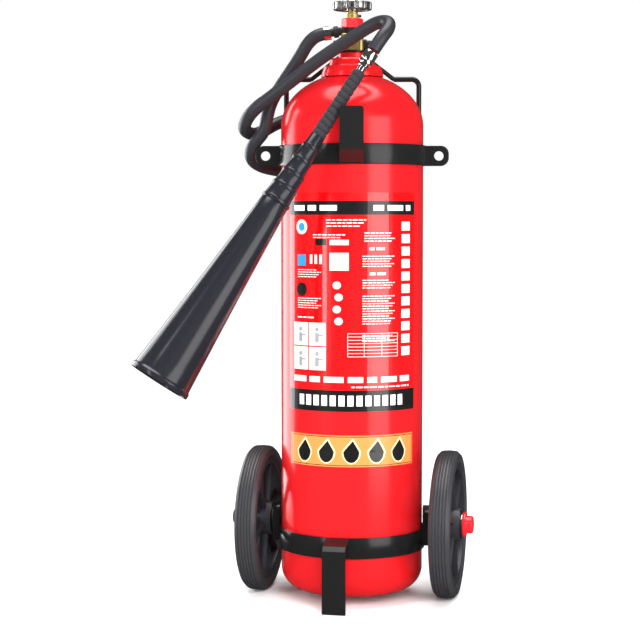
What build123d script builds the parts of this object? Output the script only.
from build123d import *
import math
import os

# Wheeled carbon dioxide fire extinguisher. Millimetres, +Z up.
# The origin is on the floor, under the cylinder's axis. X runs along the wheel axle,
# and the front, where the foot stands, faces -Y.
# The head, its straps, the horn and the hose are clamped on a little turned about Z:
# they are modelled square to the axes and turned by UPPER_TURN when they are written.

UPPER_TURN = 10.5

# Cylinder
CYL_R = 79.5
CYL_WALL = 5.5
CYL_BASE_Z = 10.0
CYL_CORNER_R = 25.0
CYL_SHOULDER_Z = 529.0
DOME_H = 60.0
NECK_R = 15.6
NECK_BORE_R = 11.0
NECK_TOP_Z = 611.0

# Straps
STRAP_T = 3.0
STRAP_R = CYL_R + STRAP_T
SKIN_GAP = 0.05
STRAP_W = 26.0
UPPER_BAND_Z = (485.5, 508.0)
EAR_REACH = 108.0
EAR_HOLE_X = 97.0
EAR_HOLE_R = 5.3
LOWER_BAND_Z = (57.0, 80.0)
CLIP_FACE_Y = -105.5
CLIP_TOP_Z = 546.0
FOOT_FACE_Y = -104.0

# Handle and neck stay
ROD_R = 3.0
HANDLE_X = 75.5
HANDLE_Y = 40.2
HANDLE_TOP_Z = 585.0
HANDLE_BEND_R = 8.0
STAY_R = 2.5
STAY_FOOT_X = 47.0

# Valve, from the neck up
STAY_RING_T = 2.0
BODY_SIDE = 25.0
BODY_TOP_Z = 632.0
BOSS_R = 6.0
BOSS_TOP_Z = 649.3
SPINDLE_BORE_R = 4.0
RUN_GAP = 0.05
SEAT_Z = 614.0
DISC_TOP_Z = 622.0
PORT_Z = 619.8
BANJO_TOP_Z = 638.6
GLAND_TOP_Z = 656.0
WHEEL_BOTTOM_Z = 657.4
WHEEL_TOP_Z = 667.0
HANDWHEEL_R = 21.75

# Horn: its axis runs from the hose entry to the middle of the mouth
HORN_ENTRY = Vector(21.5, -79.5, 604.0)
HORN_MOUTH = Vector(-199.8, -156.3, 257.3)
FERRULE_L = 14.5
NIPPLE_L = 10.0
GRIP_L = 84.0
NECK_L = 85.0
GRIP_RIBS = 12
NECK_STEPS = 5
MOUTH_R = 34.0
HORN_WALL = 2.2

# Hose
HOSE_R = 7.25
HOSE_BORE_R = 4.0
HOSE_GAP = 3.0
OUTLET_SLOPE = 8.0
OUTLET_ROOT = Vector(-6.5, 0.0, 636.0)
OUTLET_ARM_L = 17.5
OUTLET_FERRULE_L = 7.5

# Wheels
WHEEL_R = 83.0
WHEEL_X = 108.5
AXLE_Y = 12.0
AXLE_Z = WHEEL_R
TYRE_W = 24.0
TYRE_IN_R = 69.0
RIM_IN_R = 62.0
RIM_W = 20.0
HUB_R = 19.0
HUB_W = 29.0
SPOKES = 6
AXLE_R = 8.0
BUSH_R = 10.5
AXLE_END = 138.0
BRACKET_FACE_X = 90.0


def lathe(points):
    """A solid turned about Z from (radius, height) points joined by straight lines."""
    face = make_face(Polyline(*points, close=True))
    return revolve(face, Axis.Y).rotate(Axis.X, 90)


def round_bar(start, end, radius):
    """A round bar between two points."""
    run = end - start
    place = Plane(origin=start, z_dir=run)
    return place.location * Cylinder(radius, run.length, align=(Align.CENTER, Align.CENTER, Align.MIN))


def post(radius, z_low, z_high):
    """An upright round bar on the Z axis."""
    return Pos(0, 0, z_low) * Cylinder(radius, z_high - z_low, align=(Align.CENTER, Align.CENTER, Align.MIN))


def sleeve(outer, inner, z_low, z_high):
    """An upright tube on the Z axis."""
    return post(outer, z_low, z_high) - post(inner, z_low - 1, z_high + 1)


def cross_bar(radius, x_low, x_high, y, z):
    """A round bar along X."""
    return round_bar(Vector(x_low, y, z), Vector(x_high, y, z), radius)


def block(x_span, y_span, z_span):
    """A box between three pairs of limits."""
    size = (x_span[1] - x_span[0], y_span[1] - y_span[0], z_span[1] - z_span[0])
    middle = (sum(x_span) / 2, sum(y_span) / 2, sum(z_span) / 2)
    return Pos(*middle) * Box(*size)


# ---------------------------------------------------------------- pressure cylinder

def cylinder():
    """The seamless steel bottle: flat base with a rolled corner, elliptical dome and bored neck."""
    def wall(radius, base, corner, rise, neck, top):
        angle = math.degrees(math.acos(neck / radius))
        dome_end = CYL_SHOULDER_Z + rise * math.sin(math.radians(angle))
        edges = [
            Line((0, base), (radius - corner, base)),
            CenterArc((radius - corner, base + corner), corner, -90, 90),
            Line((radius, base + corner), (radius, CYL_SHOULDER_Z)),
            EllipticalCenterArc((0, CYL_SHOULDER_Z), radius, rise, 0, arc_size=angle),
            Line((neck, dome_end), (neck, top)),
            Line((neck, top), (0, top)),
            Line((0, top), (0, base)),
        ]
        face = make_face(edges)
        return revolve(face, Axis.Y).rotate(Axis.X, 90)

    outer = wall(CYL_R, CYL_BASE_Z, CYL_CORNER_R, DOME_H, NECK_R, NECK_TOP_Z)
    hollow = wall(
        CYL_R - CYL_WALL, CYL_BASE_Z + CYL_WALL, CYL_CORNER_R - CYL_WALL,
        DOME_H - CYL_WALL, NECK_BORE_R, NECK_TOP_Z + 1,
    )
    seal_seat = post(NECK_BORE_R + 2, NECK_TOP_Z - 1, NECK_TOP_Z + 1)
    return outer - hollow - seal_seat


def neck_ring():
    """The two-tier steel ring around the neck, its underside on the dome."""
    bore = NECK_R + SKIN_GAP
    profile = [
        (bore, 588.7), (34.5, 583.9), (34.2, 590), (32.0, 595), (31.0, 596),
        (26.3, 596), (25.0, 602), (22.0, 605), (bore, 605),
    ]
    return lathe(profile)


def label_skin(z_low, z_high, half_angle):
    """A thin printed film wrapped on the front of the cylinder."""
    film = sleeve(CYL_R + SKIN_GAP + 0.3, CYL_R + SKIN_GAP, z_low, z_high)
    reach = 2 * CYL_R
    edge = (reach * math.sin(math.radians(half_angle)), -reach * math.cos(math.radians(half_angle)))
    wedge = make_face(Polyline((0, 0), (-edge[0], edge[1]), (0, -2 * reach), edge, close=True))
    return film & Pos(0, 0, z_low - 1) * extrude(wedge, z_high - z_low + 2)


# ---------------------------------------------------------------- straps, clip, handle

def upper_band(side):
    """Half of the upper strap, with a drilled ear at each end. side is -1 at the front, 1 behind."""
    z_low, z_high = UPPER_BAND_Z
    middle_z = (z_low + z_high) / 2
    ring = sleeve(STRAP_R, CYL_R + SKIN_GAP, z_low, z_high)
    keep = block((-100, 100), sorted((0.15 * side, 100 * side)), (z_low, z_high))
    half = ring & keep
    ear_y = sorted((0.15 * side, (STRAP_T + 0.15) * side))
    for x_side in (-1, 1):
        height = z_high - z_low
        end_r = 9.0
        ear = block(
            sorted(((STRAP_R - 2.5) * x_side, EAR_REACH * x_side)), ear_y, (z_low, z_high)
        )
        corner = ear.edges().filter_by(Axis.Y).group_by(Axis.X)[-1 if x_side > 0 else 0]
        ear = fillet(corner, min(end_r, height / 2 - 1))
        hole = Plane(origin=(EAR_HOLE_X * x_side, -10, middle_z), z_dir=(0, 1, 0)).location * Cylinder(
            EAR_HOLE_R, 40
        )
        half = half + (ear - hole)
    return half


def strip(path_points, width):
    """A flat strip with its outline in the Y-Z plane, centred on X."""
    face = make_face(Polyline(*[(0, y, z) for y, z in path_points], close=True))
    return extrude(face, width / 2, dir=(1, 0, 0), both=True)


def horn_clip():
    """The bent strip welded to the upper strap, that holds the horn's grip against the cylinder."""
    back = -(STRAP_R + SKIN_GAP)
    outline = [
        (back, 487.0), (CLIP_FACE_Y, 500.0), (CLIP_FACE_Y, CLIP_TOP_Z),
        (CLIP_FACE_Y + STRAP_T, CLIP_TOP_Z), (CLIP_FACE_Y + STRAP_T, 502.0), (back, 490.5),
    ]
    clip = strip(outline, STRAP_W)
    top = clip.edges().filter_by(Axis.Y).group_by(Axis.Z)[-1]
    return fillet(top, 3.0)


def front_foot():
    """The bent strip welded to the lower strap, standing on the floor in front."""
    back = -(STRAP_R + SKIN_GAP)
    outline = [
        (back, 80.0), (FOOT_FACE_Y + 4, 74.0), (FOOT_FACE_Y, 69.0), (FOOT_FACE_Y, 0.0),
        (FOOT_FACE_Y + STRAP_T, 0.0), (FOOT_FACE_Y + STRAP_T, 67.5), (FOOT_FACE_Y + 5.5, 71.0),
        (back, 76.8),
    ]
    return strip(outline, STRAP_W)


def handle_bar():
    """The two bent rods of the handle, each from a neck stay outwards and down to the upper strap's back."""
    bottom = UPPER_BAND_Z[0] + 1
    rods = []
    for x_side in (-1, 1):
        path = FilletPolyline(
            (STAY_FOOT_X * x_side, HANDLE_Y, HANDLE_TOP_Z), (HANDLE_X * x_side, HANDLE_Y, HANDLE_TOP_Z),
            (HANDLE_X * x_side, HANDLE_Y, bottom),
            radius=HANDLE_BEND_R,
        )
        section = Plane(origin=path @ 0, z_dir=path % 0) * Circle(ROD_R)
        rods.append(sweep(section, path=path))
    return Compound(children=rods)


def stay_ring():
    """The flat ring clamped between the neck and the valve, that carries the stays."""
    return sleeve(18.0, NECK_BORE_R + SKIN_GAP, NECK_TOP_Z, NECK_TOP_Z + STAY_RING_T)


def neck_stay(x_side):
    """The rod that slopes from the neck down to the inner end of one of the handle's rods."""
    top = Vector(9.0 * x_side, 15.0, NECK_TOP_Z + STAY_RING_T / 2)
    foot = Vector(STAY_FOOT_X * x_side, HANDLE_Y, HANDLE_TOP_Z)
    leg = round_bar(top, foot, STAY_R)
    bar_end = cross_bar(ROD_R, STAY_FOOT_X * x_side, HANDLE_X * x_side, HANDLE_Y, HANDLE_TOP_Z)
    return leg - stay_ring() - bar_end - post(NECK_R + SKIN_GAP, 580, NECK_TOP_Z)


# ---------------------------------------------------------------- valve

def valve_body():
    """The brass valve: stem in the neck, square body with two side ports, boss for the spindle."""
    base_z = NECK_TOP_Z + STAY_RING_T
    body = block((-BODY_SIDE / 2, BODY_SIDE / 2), (-BODY_SIDE / 2, BODY_SIDE / 2), (base_z, BODY_TOP_Z))
    body = fillet(body.edges().filter_by(Axis.Z), 4.0)
    body = chamfer(body.faces().sort_by(Axis.Z)[-1].edges(), 1.0)
    body = body + post(NECK_BORE_R - RUN_GAP, 588, base_z) + post(BOSS_R, BODY_TOP_Z - 1, BOSS_TOP_Z)
    body = body - post(2.2, 580, SEAT_Z) - post(SPINDLE_BORE_R, SEAT_Z, BOSS_TOP_Z + 1)
    ports = cross_bar(4.0, -BODY_SIDE / 2 - 1, BODY_SIDE / 2 + 1, 0, PORT_Z)
    outlet = cross_bar(1.5, -BOSS_R - 1, 0, 0, 635.3)
    return body - ports - outlet


def port_plug(x_side):
    """A black hexagon-headed plug in a side port of the valve."""
    head = Plane(origin=(BODY_SIDE / 2 * x_side, 0, PORT_Z), z_dir=(x_side, 0, 0)).location * extrude(
        RegularPolygon(6.4, 6), 3.5
    )
    near, far = BODY_SIDE / 2 * x_side, 21.0 * x_side
    stem = cross_bar(3.95, 7.0 * x_side, near, 0, PORT_Z)
    return head + stem + cross_bar(5.2, near, far, 0, PORT_Z)


def outlet_axis(distance):
    """A point on the outlet's sloping axis, at a distance from its root."""
    slope = math.radians(OUTLET_SLOPE)
    return OUTLET_ROOT + Vector(-math.cos(slope), 0, -math.sin(slope)) * distance


def banjo_outlet():
    """The black swivel ring around the boss, with the outlet arm to the hose."""
    ring = sleeve(8.5, BOSS_R + RUN_GAP, BODY_TOP_Z, BANJO_TOP_Z)
    arm = round_bar(outlet_axis(0), outlet_axis(OUTLET_ARM_L), 4.6)
    arm = arm - post(13.0, BANJO_TOP_Z, BOSS_TOP_Z) - post(13.0, 620, BODY_TOP_Z)
    nut = round_bar(outlet_axis(9.0), outlet_axis(14.5), 6.4)
    whole = ring + arm + nut - post(BOSS_R + RUN_GAP, BODY_TOP_Z - 1, BANJO_TOP_Z + 1)
    return whole - round_bar(outlet_axis(0), outlet_axis(OUTLET_ARM_L + 1), 2.0)


def outlet_ferrule():
    """The bright crimped sleeve on the hose's valve end."""
    low, high = outlet_axis(OUTLET_ARM_L), outlet_axis(OUTLET_ARM_L + OUTLET_FERRULE_L)
    return round_bar(low, high, 7.7) - round_bar(low - (high - low), high + (high - low), 3.0)


def bonnet_nut():
    """The red hexagon nut that clamps the outlet ring down."""
    nut = extrude(RegularPolygon(12.4, 6), BOSS_TOP_Z - BANJO_TOP_Z)
    nut = chamfer(nut.edges().group_by(Axis.Z)[-1], 1.2)
    return Pos(0, 0, BANJO_TOP_Z) * nut - post(BOSS_R + RUN_GAP, 600, 660)


def gland():
    """The brass packing gland around the spindle."""
    profile = [
        (SPINDLE_BORE_R, BOSS_TOP_Z), (7.3, BOSS_TOP_Z), (7.3, 653.6), (6.2, 654.2),
        (6.2, GLAND_TOP_Z), (SPINDLE_BORE_R, GLAND_TOP_Z),
    ]
    return lathe(profile)


def valve_disc():
    """The loose disc on the spindle's end, that lifts off the seat and doesn't turn."""
    return post(SPINDLE_BORE_R - RUN_GAP, SEAT_Z, DISC_TOP_Z - 0.05)


def spindle():
    """The threaded spindle, stepped down to carry the handwheel."""
    long_part = post(SPINDLE_BORE_R - RUN_GAP, DISC_TOP_Z, WHEEL_BOTTOM_Z)
    return long_part + post(2.95, WHEEL_BOTTOM_Z, WHEEL_TOP_Z - 1.0)


def handwheel():
    """The dished cast wheel: hub, five spokes and a notched rim."""
    rim_in = HANDWHEEL_R - 4.5
    rim = sleeve(HANDWHEEL_R, rim_in, WHEEL_BOTTOM_Z + 1.2, WHEEL_TOP_Z)
    rim = chamfer(rim.edges().filter_by(GeomType.CIRCLE), 0.8)
    notches = 14
    for index in range(notches):
        angle = math.radians(360 * index / notches)
        rim = rim - Pos(
            (HANDWHEEL_R + 1.4) * math.cos(angle), (HANDWHEEL_R + 1.4) * math.sin(angle), WHEEL_TOP_Z
        ) * Cylinder(2.6, 40)
    wheel = rim + sleeve(6.5, 3.0, WHEEL_BOTTOM_Z, WHEEL_TOP_Z - 3.0)
    spokes = 5
    for index in range(spokes):
        spoke = block((5.0, rim_in + 1.0), (-2.2, 2.2), (WHEEL_BOTTOM_Z + 2.0, WHEEL_BOTTOM_Z + 5.4))
        wheel = wheel + spoke.rotate(Axis.Z, 360 * index / spokes + 12)
    return wheel - post(3.0, WHEEL_BOTTOM_Z - 1, WHEEL_TOP_Z + 1)


def handwheel_nut():
    """The nut that holds the handwheel on the spindle."""
    nut = Pos(0, 0, WHEEL_TOP_Z - 3.0) * extrude(RegularPolygon(5.4, 6), 2.6)
    return nut - post(3.0, 640, 680)


# ---------------------------------------------------------------- hose and horn

def hose_points():
    """The hose's route, from the outlet ferrule to just short of the horn's ferrule."""
    axis = (HORN_MOUTH - HORN_ENTRY).normalized()
    start = outlet_axis(OUTLET_ARM_L + OUTLET_FERRULE_L)
    end = HORN_ENTRY - axis * HOSE_GAP
    before_end = HORN_ENTRY - axis * 19.0
    return [
        start,
        outlet_axis(OUTLET_ARM_L + OUTLET_FERRULE_L + 13.0),
        Vector(-64, 3, 606),
        Vector(-87, 6, 573),
        Vector(-102, 8, 545),
        Vector(-107, 10, 521),
        Vector(-118, 14, 500),
        Vector(-111, 38, 489),
        Vector(-84, 72, 486),
        Vector(-52, 98, 477),
        Vector(-16, 111, 469),
        Vector(20, 115, 477),
        Vector(41, 114, 505),
        Vector(35, 113, 538),
        Vector(9, 111, 559),
        Vector(-27, 107, 561),
        Vector(-61, 92, 545),
        Vector(-91, 64, 525),
        Vector(-119, 44, 513),
        Vector(-132, 12, 519),
        Vector(-119, -12, 531),
        Vector(-93, -21, 551),
        Vector(-65, -28, 577),
        Vector(-36, -30, 601),
        Vector(-6, -32, 622),
        Vector(20, -35, 640),
        Vector(37, -46, 646),
        Vector(42, -62, 639),
        before_end,
        end,
    ]


def corner_radii(points):
    """For each inner point, 0.45 of the shorter run over the tangent of half the turn."""
    radii = []
    for before, here, after in zip(points, points[1:], points[2:]):
        run_in, run_out = here - before, after - here
        half_turn = math.radians(run_in.get_angle(run_out)) / 2
        radii.append(0.45 * min(run_in.length, run_out.length) / math.tan(half_turn))
    return radii


def hose():
    """The rubber hose as a tube of straight runs joined by tangent arcs."""
    points = hose_points()
    radii = corner_radii(points)
    path = FilletPolyline(*points, radius=radii)
    section = Plane(origin=path @ 0, z_dir=path % 0) * (Circle(HOSE_R) - Circle(HOSE_BORE_R))
    tube = sweep(section, path=path)
    area = math.pi * (HOSE_R**2 - HOSE_BORE_R**2)
    print("hose length", round(path.length, 1), "volume over section x length",
          round(tube.volume / (area * path.length), 4))
    print("hose radii", [round(radius, 1) for radius in radii])
    return tube


def on_horn(shape):
    """Moves a solid turned about Z onto the horn's axis, its zero height at the hose entry."""
    return Plane(origin=HORN_ENTRY, z_dir=HORN_MOUTH - HORN_ENTRY).location * shape


GRIP_START = FERRULE_L + NIPPLE_L
NECK_START = GRIP_START + GRIP_L
CONE_START = NECK_START + NECK_L
HORN_L = (HORN_MOUTH - HORN_ENTRY).length


def horn_ferrule():
    """The bright crimped sleeve on the hose's horn end."""
    body = sleeve(7.7, 4.2, 0, FERRULE_L)
    for height in (3.5, 7.0, 10.5):
        body = body - sleeve(9.0, 7.2, height, height + 1.0)
    return on_horn(body)


def horn_nipple():
    """The bright hexagon nipple between the ferrule and the grip."""
    flats = Pos(0, 0, FERRULE_L) * extrude(RegularPolygon(5.8, 6), 4.0)
    body = flats + post(4.6, FERRULE_L, GRIP_START) - post(2.5, 0, GRIP_START + 1)
    return on_horn(body)


def horn_grip():
    """The ribbed hand grip around the horn's discharge tube."""
    pitch = GRIP_L / GRIP_RIBS
    profile = [(4.7, GRIP_START)]
    for index in range(GRIP_RIBS):
        low = GRIP_START + index * pitch
        profile += [(6.9, low), (6.9, low + 0.25 * pitch), (8.0, low + 0.4 * pitch), (8.0, low + 0.9 * pitch)]
    profile += [(6.9, NECK_START), (4.7, NECK_START)]
    return on_horn(lathe(profile))


def discharge_tube():
    """The steel tube inside the grip and the stepped neck, ending in the nozzle."""
    return on_horn(sleeve(4.6, 2.6, GRIP_START, CONE_START - 8))


def neck_profile_radius(step):
    """The stepped neck's radius at a step, from the grip to the cone."""
    return 9.0 + (15.5 - 9.0) * step / (NECK_STEPS - 1)


def horn_neck():
    """The stepped plastic neck: tapering sections, each ending in a ring."""
    length = NECK_L / NECK_STEPS
    profile = [(4.7, NECK_START)]
    for step in range(NECK_STEPS):
        low = NECK_START + step * length
        radius = neck_profile_radius(step)
        profile += [
            (radius - 1.2, low), (radius - 0.4, low + 0.72 * length), (radius + 0.9, low + 0.76 * length),
            (radius + 0.9, low + 0.95 * length),
        ]
    profile += [(15.2, CONE_START), (11.0, CONE_START), (11.0, CONE_START - 6), (4.7, CONE_START - 8)]
    return on_horn(lathe(profile))


def nozzle():
    """The brass nozzle at the end of the discharge tube."""
    body = sleeve(6.0, 1.6, CONE_START - 6, CONE_START + 6)
    return on_horn(body)


def horn_cone():
    """The thin plastic discharge cone, with a bead around its mouth."""
    first = 15.4
    profile = [
        (first, CONE_START + 0.05), (MOUTH_R - 1.5, HORN_L - 7), (MOUTH_R, HORN_L - 5), (MOUTH_R, HORN_L),
        (MOUTH_R - HORN_WALL - 0.8, HORN_L), (MOUTH_R - HORN_WALL - 1.5, HORN_L - 7),
        (first - HORN_WALL, CONE_START + 0.05),
    ]
    return on_horn(lathe(profile))


# ---------------------------------------------------------------- carriage

def lower_band():
    """The strap around the cylinder's foot, that carries the axle and the front foot."""
    return sleeve(STRAP_R, CYL_R + SKIN_GAP, *LOWER_BAND_Z)


def axle_bracket(x_side):
    """The block on the side of the lower strap that holds a stub axle."""
    body = block(sorted((72 * x_side, BRACKET_FACE_X * x_side)), (AXLE_Y - 20, AXLE_Y + 20), (60, 101))
    outer = body.edges().filter_by(Axis.X)
    body = fillet(outer, 6.0)
    body = body - post(STRAP_R + SKIN_GAP, 50, 110)
    return body - cross_bar(AXLE_R, -95, 95, AXLE_Y, AXLE_Z)


def stub_axle(x_side):
    """The stub axle, pressed through its bracket."""
    return cross_bar(AXLE_R, 83.0 * x_side, 126.0 * x_side, AXLE_Y, AXLE_Z)


def on_axle(shape, x_side):
    """Lays a solid turned about Z on the axle, its zero height in the wheel's middle plane."""
    return Plane(origin=(WHEEL_X * x_side, AXLE_Y, AXLE_Z), z_dir=(x_side, 0, 0)).location * shape


def tyre(x_side):
    """The solid rubber tyre, with three grooves around its tread."""
    half = TYRE_W / 2
    side = [(TYRE_IN_R, -half + 3), (TYRE_IN_R + 4, -half), (WHEEL_R - 6, -half), (WHEEL_R - 1.5, -half + 3)]
    tread = []
    for middle in (-7.0, 0.0, 7.0):
        tread += [
            (WHEEL_R, middle - 1.9), (WHEEL_R - 2.5, middle - 1.2),
            (WHEEL_R - 2.5, middle + 1.2), (WHEEL_R, middle + 1.9),
        ]
    mirrored = [(radius, -height) for radius, height in reversed(side)]
    return on_axle(lathe(side + tread + mirrored), x_side)


def wheel_hub(x_side):
    """The moulded wheel: rim, boss and ribbed spokes."""
    rim = sleeve(TYRE_IN_R - SKIN_GAP, RIM_IN_R, -RIM_W / 2, RIM_W / 2)
    boss = post(HUB_R, -HUB_W / 2, HUB_W / 2)
    web = rim + boss
    for index in range(SPOKES):
        angle = 360 * index / SPOKES + 15
        flat = block((HUB_R - 3, RIM_IN_R + 2), (-8.0, 8.0), (-2.5, 2.5))
        rib = block((HUB_R - 3, RIM_IN_R + 2), (-2.0, 2.0), (-9.0, 9.0))
        web = web + (flat + rib).rotate(Axis.Z, angle)
    recess = sleeve(HUB_R - 3, BUSH_R + 3, HUB_W / 2 - 3, HUB_W / 2 + 1)
    return on_axle(web - post(BUSH_R, -HUB_W, HUB_W) - recess, x_side)


def wheel_bush(x_side):
    """The plastic bush pressed into the wheel, running on the stub axle."""
    return on_axle(sleeve(BUSH_R, AXLE_R + RUN_GAP, -HUB_W / 2, HUB_W / 2), x_side)


def washers(x_side):
    """The two thrust washers, inside and outside the wheel."""
    inner = sleeve(14.0, AXLE_R + SKIN_GAP, -HUB_W / 2 - 3.3, -HUB_W / 2 - 0.4)
    outer = sleeve(13.0, AXLE_R + SKIN_GAP, HUB_W / 2 + 0.4, HUB_W / 2 + 2.4)
    return Compound(children=[on_axle(inner, x_side), on_axle(outer, x_side)])


def axle_cap_right():
    """The red flanged knob screwed on the right stub axle."""
    flange = cross_bar(14.0, 126.0, 129.0, AXLE_Y, AXLE_Z)
    knob = cross_bar(10.0, 129.0, AXLE_END - 1, AXLE_Y, AXLE_Z)
    knob = fillet(knob.faces().sort_by(Axis.X)[-1].edges(), 2.5)
    return flange + knob


def axle_cap_left():
    """The black plain cap on the left stub axle."""
    cap = cross_bar(8.6, -AXLE_END - 3, -126.0, AXLE_Y, AXLE_Z)
    return fillet(cap.faces().sort_by(Axis.X)[0].edges(), 2.0)


LEFT = -1
RIGHT = 1

UPPER = {
    "cylinder": cylinder(),
    "neck_ring": neck_ring(),
    "main_label": label_skin(218.0, 455.0, 59.0),
    "lower_label": label_skin(157.5, 192.0, 57.0),
    "upper_band_front": upper_band(-1),
    "upper_band_back": upper_band(1),
    "horn_clip": horn_clip(),
    "handle_bar": handle_bar(),
    "stay_ring": stay_ring(),
    "neck_stay_left": neck_stay(LEFT),
    "neck_stay_right": neck_stay(RIGHT),
    "valve_seal": sleeve(13.0, NECK_BORE_R, NECK_TOP_Z - 1, NECK_TOP_Z),
    "valve_body": valve_body(),
    "dip_tube": sleeve(4.0, 2.6, 22.0, 588.0),
    "burst_disc_plug": port_plug(LEFT),
    "burst_disc": cross_bar(3.9, -7.0, -6.6, 0, PORT_Z),
    "fill_port_plug": port_plug(RIGHT),
    "banjo_outlet": banjo_outlet(),
    "outlet_ferrule": outlet_ferrule(),
    "bonnet_nut": bonnet_nut(),
    "gland": gland(),
    "gland_pin": cross_bar(1.5, 7.35, 10.0, 0, 652.0),
    "valve_disc": valve_disc(),
    "spindle": spindle(),
    "handwheel": handwheel(),
    "handwheel_nut": handwheel_nut(),
    "hose": hose(),
    "horn_ferrule": horn_ferrule(),
    "horn_nipple": horn_nipple(),
    "horn_grip": horn_grip(),
    "discharge_tube": discharge_tube(),
    "horn_neck": horn_neck(),
    "nozzle": nozzle(),
    "horn_cone": horn_cone(),
}

LOWER = {
    "lower_band": lower_band(),
    "front_foot": front_foot(),
    "axle_cap_left": axle_cap_left(),
    "axle_cap_right": axle_cap_right(),
}
for name, x_side in (("left", LEFT), ("right", RIGHT)):
    LOWER["axle_bracket_" + name] = axle_bracket(x_side)
    LOWER["stub_axle_" + name] = stub_axle(x_side)
    LOWER["washers_" + name] = washers(x_side)
    LOWER["wheel_bush_" + name] = wheel_bush(x_side)
    LOWER["wheel_hub_" + name] = wheel_hub(x_side)
    LOWER["tyre_" + name] = tyre(x_side)

os.makedirs("parts", exist_ok=True)
for name, shape in UPPER.items():
    export_step(shape.rotate(Axis.Z, UPPER_TURN), f"parts/{name}.step")
for name, shape in LOWER.items():
    export_step(shape, f"parts/{name}.step")
